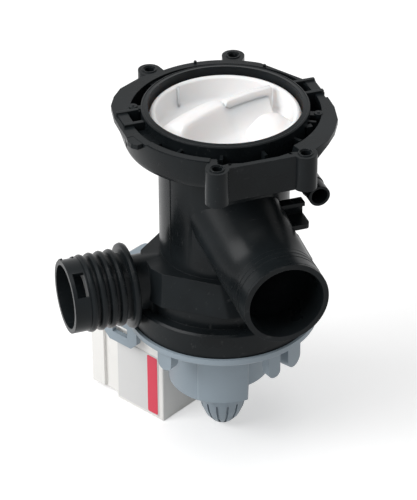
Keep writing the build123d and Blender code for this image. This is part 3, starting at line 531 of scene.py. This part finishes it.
def eye_clip(shape, angle):
    """A flat latch across the trough with a raised eye."""
    near, far, eye = 37.6, 43.8, 41.8
    before = set(shape.verts)
    bar(shape, (near, -1.5, -2.0), (far, 1.5, -0.35))
    tapered(shape, (eye, 0, -0.9), 2.2, 2.0, 2.3, 28)
    tapered(shape, (eye, 0, 0.4), 0.7, 0.6, 0.5, 20)
    made = [corner for corner in shape.verts if corner not in before]
    bmesh.ops.transform(shape, matrix=Matrix.Rotation(math.radians(angle), 4, "Z"), verts=made)


def flange_trim():
    """What stands on the flange: clip brackets, the wing's thick end, plates, latches and a pillar."""
    shape = bmesh.new()
    half_wall = 0.95
    for side in (-1, 1):
        for across in BRACKET_PLACES:
            low, high = sorted((side * 37.2, side * 47.4))
            bar(shape, (low, across - half_wall, -5.0), (high, across + half_wall, 1.25))
        low, high = sorted((side * 42.6, side * 47.2))
        bar(shape, (low, 1.6, -3.0), (high, 11.5, 0.55))
    wing_end = [(-49.2, -8.0), (-49.7, -11.0), (-49.0, -14.0), (-46.7, -16.4), (-44.2, -15.8), (-45.4, -7.0)]
    closed_bar(shape, [[shape.verts.new((x, y, level)) for x, y in wing_end] for level in (-2.4, -0.1)])
    bar(shape, (-16.0, -48.55, -9.0), (16.0, -46.3, -0.05))
    ring_part(shape, TROUGH_IN, TROUGH_OUT, 181.0, 202.5, -4.2, -2.4)
    ring_part(shape, TROUGH_RADIUS + 0.05, 46.5, 202.5, 242.0, -1.0, 0.45)
    ring_part(shape, TROUGH_IN, TROUGH_OUT, 97.0, 124.0, -4.2, -1.2)
    eye_clip(shape, 155.6)
    eye_clip(shape, -23.2)
    pillar = Vector((30.9, -23.8, 0))
    bar(shape, pillar + Vector((-1.5, -1.3, -9.0)), pillar + Vector((1.5, 1.3, -1.0)))
    housing_piece(shape, "flange_trim", smooth=False)


def outlet_hook():
    """The frame round the slot in the outlet's mouth, with its hook. Levels count along the outlet."""
    shape = bmesh.new()
    ring_part(shape, 14.95, 17.12, 14.0, 41.0, 69.9, 76.2)
    ring_part(shape, 17.0, 17.75, 30.0, 78.0, 75.7, 76.6)
    ring_part(shape, 17.0, 17.75, 30.0, 78.0, 70.3, 71.2)
    ring_part(shape, 17.0, 17.9, 58.0, 64.0, 70.3, 76.6, steps=3)
    ring_part(shape, 15.6, 17.6, 66.0, 74.0, 72.6, 74.2, steps=3)
    axis = Matrix.Translation((0, OUTLET_Y, OUTLET_Z)) @ Matrix.Rotation(math.radians(-90), 4, "Y")
    bmesh.ops.transform(shape, matrix=axis, verts=shape.verts[:])
    housing_piece(shape, "outlet_hook", smooth=False)


def inlet_ring(front):
    """The middle and radius of the inlet's outside at a distance in front of the neck's axis."""
    bend, rounding, run = 46.0, 8.0, 31.0
    sideways, upwards, wider = 9.8, 25.4, 0.6
    behind = bend - front
    eased = behind if behind > rounding else max(behind + rounding, 0.0) ** 2 / (4 * rounding)
    radius = INLET_RADIUS + max(behind, 0.0) * wider / run
    return INLET_X - eased * sideways / run, INLET_Z + eased * upwards / run, radius


def inlet_skin():
    """The inlet's outside in one smooth run, from its straight mouth into the slanting hood."""
    shape = bmesh.new()
    rings = []
    stations = [15.0 + 1.65 * step for step in range(31)]
    for wall, order in ((0.0, stations), (1.3, list(reversed(stations)))):
        for front in order:
            x, z, radius = inlet_ring(front)
            reach = radius - wall
            rings.append(ring_of(
                shape, 144, lambda a: (x + reach * math.cos(a), -front, z + reach * math.sin(a)),
            ))
    joined(shape, rings + rings[:1])
    last = len(stations) - 1
    for place in (0, last, last + 1, 2 * last + 1):
        sharpened(shape, rings[place])
    housing_piece(shape, "inlet_skin")


def neck_shoulder():
    """The shoulder that closes the collar's bore down to the neck, which the solid lacks."""
    shape = bmesh.new()
    tucked = NECK_BORE + 1.0
    rings = [level_ring(shape, 144, radius, level, middle) for radius, level, middle in (
        (NECK_BORE, -15.7, NECK_X), (COLLAR_BORE, -15.7, 0), (COLLAR_BORE, -14.4, 0),
        (COLLAR_RADIUS, -14.4, 0), (COLLAR_RADIUS, -16.4, 0), (36.8, -17.8, 0), (tucked, -19.0, NECK_X),
        (tucked, -16.1, NECK_X), (NECK_BORE, -16.0, NECK_X),
    )]
    joined(shape, rings + rings[:1])
    for ring in rings:
        sharpened(shape, ring)
    housing_piece(shape, "neck_shoulder")


def mould_marks():
    """The parting line down both sides of the neck, and two nubs behind the flange."""
    shape = bmesh.new()
    for angle, reach, low in ((196.0, 30.02, -66.0), (1.5, 29.95, -60.0)):
        turn = math.radians(angle)
        before = set(shape.verts)
        bar(shape, (-0.22, -0.28, low), (0.22, 0.28, -15.5))
        spot = Matrix.Translation((NECK_X + reach * math.cos(turn), reach * math.sin(turn), 0))
        made = [corner for corner in shape.verts if corner not in before]
        bmesh.ops.transform(shape, matrix=spot @ Matrix.Rotation(turn, 4, "Z"), verts=made)
    for x, y in ((1.4, 45.9), (30.4, 32.0)):
        pin(shape, x, y, -2.0, 1.1, 0.7)
    housing_piece(shape, "mould_marks", smooth=False)


def raised_rings():
    """Rings round the ears' holes and the mouths: count, first place, step, facing and both radii."""
    up, out_front, out_side = (0, 0, 1), (0, 1, 0), (1, 0, 0)
    slant = (-0.9375, 0, 0.348)
    ear_x, ear_y = 20.5, 47.2
    ring_line("gate_mark", 1, (-13.25, -56.1, -57.04), out_side, slant, 0.95, 0.24)
    for side, x in (("left", -ear_x), ("right", ear_x)):
        ring_line("ear_rings_" + side, 2, (x, -ear_y, 0.1), (0, 2 * ear_y, 0), up, 3.1, 0.42)
    ring_line("inlet_rings", 3, (INLET_X, -58.3, INLET_Z), (0, 3.1, 0), out_front, INLET_RADIUS, 0.17)
    ring_line("inlet_rim", 1, (INLET_X, -65.45, INLET_Z), out_front, out_front, 19.42, 0.54)
    ring_line("outlet_rim", 1, (-76.8, OUTLET_Y, OUTLET_Z), out_side, out_side, 16.6, 0.5)
    ring_line("collar_crest", 1, (0, 0, 2.5), up, up, 37.3, 0.4)
    ring_line("nipple_rim", 1, (31.2, -37.6, -29.8), out_front, out_front, 4.55, 0.38)


housing_moulding()
flange_trim()
outlet_hook()
inlet_skin()
neck_shoulder()
mould_marks()
raised_rings()

# The cap, blended as it is moulded: a cup, two mounds and a grip whose right half stands free
CUP_RADIUS, CUP_FLOOR = 31.1, -13.0
GRIP_TOP, MOUND_TOP = 1.2, 0.35
GRIP_RIGHT, GRIP_NOTCH, GRIP_LEFT = Vector((25.97, 12.13)), Vector((2.02, 6.22)), Vector((-25.19, -9.33))
MOUND_MIDDLE, MOUND_HALF, MOUND_END, MOUND_BACK = 15.0, 12.0, 9.5, 18.0
BUMP_X, BUMP_Y, BUMP_RADIUS, BUMP_RISE = 19.6, -7.6, 11.8, 10.3
CAP_SIDES, CUP_RINGS = 208, 78
BEAD_ANGLES = (math.radians(114.5), math.radians(294.5))


def arc_through(first, second, third):
    """The middle and radius of the circle through three places."""
    a, b = second - first, third - first
    turn = 2 * (a.x * b.y - a.y * b.x)
    x = (b.y * a.length_squared - a.y * b.length_squared) / turn
    y = (a.x * b.length_squared - b.x * a.length_squared) / turn
    middle = Vector((x, y))
    return first + middle, middle.length


GRIP_MIDDLE, GRIP_BEND = arc_through(GRIP_RIGHT, GRIP_NOTCH, GRIP_LEFT)
NOTCH_ANGLE = math.atan2(GRIP_NOTCH.y - GRIP_MIDDLE.y, GRIP_NOTCH.x - GRIP_MIDDLE.x)


def grip_place(x, y):
    """How far a place lies along the grip, leftwards from its notch, and how far behind it."""
    away = Vector((x, y)) - GRIP_MIDDLE
    return (math.atan2(away.y, away.x) - NOTCH_ANGLE) * GRIP_BEND, away.length - GRIP_BEND


def grip_point(along, behind):
    """The place that lies so far along the grip and behind it."""
    angle = NOTCH_ANGLE + along / GRIP_BEND
    return GRIP_MIDDLE + Vector((math.cos(angle), math.sin(angle))) * (GRIP_BEND + behind)


def eased_step(low, high, value):
    """Goes smoothly from 0 at the first value to 1 at the second."""
    share = min(max((value - low) / (high - low), 0.0), 1.0)
    return share * share * (3 - 2 * share)


def softly_higher(first, second, reach=2.5):
    """The higher of two levels, with their meeting rounded off."""
    share = max(reach - abs(first - second), 0.0) / reach
    return max(first, second) + share * share * reach / 4


def mound_share(along, behind):
    """How far the long mound rises at a place, as a share of its height."""
    side = max(abs(along - MOUND_MIDDLE) - MOUND_HALF, 0.0) / MOUND_END
    if behind > 0:
        return 1.0 - min(math.hypot(side, behind / MOUND_BACK), 1.0) ** 2.3
    if along > MOUND_MIDDLE - MOUND_HALF:
        crest = 1.0 - min(side, 1.0) ** 3
    else:
        crest = 1.0 - 0.2 * eased_step(3.0, -2.0, along)
    crest *= 1.0 - eased_step(-22.6, -24.9, along)
    return crest * math.exp(-((max(-behind - 0.6, 0.0) / 5.2) ** 1.7))


def cup_level(x, y):
    """The level of the cup's blended bottom."""
    along, behind = grip_place(x, y)
    rise = MOUND_TOP - CUP_FLOOR
    foot = 0.3 * math.exp(-max(abs(behind) - 1.5, 0.0) / 1.8) * (1 - eased_step(21.0, 27.0, -along))
    level = CUP_FLOOR + rise * max(mound_share(along, behind), 0.0)
    level = softly_higher(level, CUP_FLOOR + rise * foot)
    away = min(math.hypot(x - BUMP_X, y - BUMP_Y) / BUMP_RADIUS, 1.0)
    level = softly_higher(level, CUP_FLOOR + BUMP_RISE * (1.0 - away ** 2.6))
    rounding = 3.0
    edge = max(math.hypot(x, y) - CUP_RADIUS + rounding, 0.0)
    level += rounding - math.sqrt(max(rounding * rounding - edge * edge, 0.0))
    return min(level, MOUND_TOP if edge < 1.0 else -1.9 + 2.2 * (1.0 - (edge - 1.0) / 2.0))


def turned_cap():
    """The cap as one closed skin: blended cup, rounded rim, wall with the seal's groove and bottom."""
    shape = bmesh.new()
    rim = [
        (31.13, -1.5), (31.2, -1.0), (31.45, -0.55), (31.85, -0.27), (32.4, -0.2), (33.0, -0.3),
        (33.5, -0.62), (33.9, -1.15), (34.3, -2.2),
    ]
    wall = [
        (34.65, -3.3), (34.65, -10.6), (33.05, -10.6), (33.05, -13.8), (34.65, -13.8), (34.65, -15.2),
        (31.0, -15.2),
    ]
    middle = shape.verts.new((0, 0, cup_level(0, 0)))
    loops = []
    for ring in range(1, CUP_RINGS + 1):
        reach = CUP_RADIUS * ring / CUP_RINGS
        loops.append(ring_of(shape, CAP_SIDES, lambda a: (
            reach * math.cos(a), reach * math.sin(a), cup_level(reach * math.cos(a), reach * math.sin(a)),
        )))
    loops += [level_ring(shape, CAP_SIDES, radius, level) for radius, level in rim + wall]
    for step in range(CAP_SIDES):
        shape.faces.new((middle, loops[0][step], loops[0][(step + 1) % CAP_SIDES]))
    joined(shape, loops)
    shape.faces.new(loops[-1])
    for loop in loops[-len(wall):]:
        sharpened(shape, loop)
    return shape


def grip_plate(shape):
    """The free half of the grip, rounded along its top and down into the notch."""
    tops = [(-24.95, 0.2), (-24.85, 0.75), (-24.55, 1.08)]
    tops += [(along, GRIP_TOP) for along in (-24.1, -18.0, -12.0, -6.0, -2.0, -0.9)]
    tops += [(-0.1, 1.0), (0.45, 0.55), (0.75, -0.1), (0.85, -1.2)]
    half, foot = 1.45, CUP_FLOOR - 0.5
    rings = []
    for along, top in tops:
        edge = [(half, foot), (half, top - 0.6), (half - 0.12, top - 0.25), (half - 0.4, top)]
        section = [(-behind, level) for behind, level in edge] + edge[::-1]
        rings.append([
            shape.verts.new((*grip_point(along, behind), level)) for behind, level in section
        ])
    closed_bar(shape, rings)


def cap_moulding():
    """The white cap with its free grip and the two beads on the cup's wall."""
    shape = turned_cap()
    grip_plate(shape)
    for angle in BEAD_ANGLES:
        pin(shape, math.cos(angle) * 31.2, math.sin(angle) * 31.2, -12.0, -0.9, 0.75)
    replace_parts(from_bmesh(shape, "cap_moulding", "filter", "filter_white"), "filter_cap")


def on_stator(along, across, level):
    """A place in the pump's frame from one in the stator's: along its legs, across them and up."""
    return Matrix.Rotation(STATOR_TURN, 3, "Z") @ Vector((along, across, level)) + MOTOR


def label_band_print():
    """The label's red band with its rounded corners."""
    shape = bmesh.new()
    near, far, left, right, low, top, corner = 18.45, 18.58, 26.4, 31.2, -171.5, -140.0, 0.8
    outline = []
    for along, level, turn in ((right, top, 0), (left, top, 90), (left, low, 180), (right, low, 270)):
        for step in range(7):
            angle = math.radians(turn + 15 * step)
            outline.append((along + corner * math.cos(angle), level + corner * math.sin(angle)))
    closed_bar(shape, [
        [shape.verts.new(on_stator(along, across, level)) for along, level in outline]
        for across in (near, far)
    ])
    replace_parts(from_bmesh(shape, "label_band_print", "housing", "band_red", smooth=False), "label_band")


cap_moulding()
label_band_print()


# Studio: floor, lamps, room and camera

def seen_rays(tree):
    """Is 1 for rays that see a surface straight, in a reflection or through glass."""
    rays = tree.nodes.new("ShaderNodeLightPath")
    seen = maths(tree, "MAXIMUM", rays.outputs["Is Camera Ray"], rays.outputs["Is Glossy Ray"])
    return maths(tree, "MAXIMUM", seen, rays.outputs["Is Transmission Ray"])


def studio_paper():
    """Paper that is seen white where no shadow lies, also far from the lamps."""
    made, tree, shader, place = start_material("studio_paper")
    shader.inputs["Base Color"].default_value = (0.7, 0.7, 0.7, 1.0)
    shader.inputs["Roughness"].default_value = 0.9
    shader.inputs["Specular IOR Level"].default_value = 0.0
    shader.inputs["Emission Color"].default_value = (1.0, 1.0, 1.0, 1.0)
    away = tree.nodes.new("ShaderNodeVectorMath")
    away.operation = "LENGTH"
    tree.links.new(place, away.inputs[0])
    near, far, near_glow, far_glow = 0.35, 1.3, 0.46, 0.76
    glow = ranged(tree, away.outputs["Value"], near, far, near_glow, far_glow)
    tree.links.new(maths(tree, "MULTIPLY", seen_rays(tree), glow), shader.inputs["Emission Strength"])
    return made


def studio_floor():
    """The floor that the coil cover stands on."""
    shape = bmesh.new()
    bmesh.ops.create_grid(shape, x_segments=2, y_segments=2, size=3.0)
    data = bpy.data.meshes.new("studio_floor")
    shape.to_mesh(data)
    shape.free()
    data.materials.append(studio_paper())
    floor = bpy.data.objects.new("studio_floor", data)
    floor.location = (0, 0, cad_low.z - 0.2 * MM)
    bpy.context.scene.collection.objects.link(floor)


def softbox(name, place, size, power):
    """A square area lamp that looks at the pump's middle."""
    data = bpy.data.lights.new(name, "AREA")
    data.shape = "SQUARE"
    data.size = size
    data.energy = power
    lamp = bpy.data.objects.new(name, data)
    lamp.location = place
    pump_middle = Vector((0.0, 0.0, -0.09))
    lamp.rotation_euler = (pump_middle - Vector(place)).to_track_quat("-Z", "Y").to_euler()
    bpy.context.scene.collection.objects.link(lamp)


def studio_room():
    """A room that is seen white, and lights the pump softly."""
    room = bpy.data.worlds.new("studio")
    room.use_nodes = True
    tree = room.node_tree
    tree.nodes.clear()
    out = tree.nodes.new("ShaderNodeOutputWorld")
    light = tree.nodes.new("ShaderNodeBackground")
    light.inputs["Color"].default_value = (1.0, 1.0, 1.0, 1.0)
    lighting, white = 0.34, 1.0
    tree.links.new(ranged(tree, seen_rays(tree), 0.0, 1.0, lighting, white), light.inputs["Strength"])
    tree.links.new(light.outputs["Background"], out.inputs["Surface"])
    bpy.context.scene.world = room


def photo_camera():
    """The camera as fitted to the photograph, whose focal length and height are in its pixels."""
    focal_pixels, photo_height, sensor = 2603.4, 500.0, 36.0
    azimuth, elevation, roll = math.radians(-19.008), math.radians(32.833), math.radians(-0.262)
    level = math.cos(elevation)
    back = Vector((math.sin(azimuth) * level, -math.cos(azimuth) * level, math.sin(elevation)))
    data = bpy.data.cameras.new("photo_camera")
    data.sensor_fit = "VERTICAL"
    data.sensor_height = sensor
    data.sensor_width = sensor
    data.lens = focal_pixels / photo_height * sensor
    data.clip_start = 0.05
    data.clip_end = 20.0
    camera = bpy.data.objects.new("photo_camera", data)
    camera.location = Vector((-338.2, -957.6, 580.6)) * MM
    camera.rotation_mode = "QUATERNION"
    rolled = Matrix.Rotation(roll, 3, "Z").to_quaternion()
    camera.rotation_quaternion = (-back).to_track_quat("-Z", "Y") @ rolled
    bpy.context.scene.collection.objects.link(camera)
    bpy.context.scene.camera = camera


studio_floor()
softbox("key_left", (-1.0, -0.12, 0.72), 0.8, 13.5)
softbox("top_fill", (0.0, -0.1, 1.2), 0.9, 6.0)
studio_room()
photo_camera()
bpy.context.scene.view_settings.view_transform = "Standard"
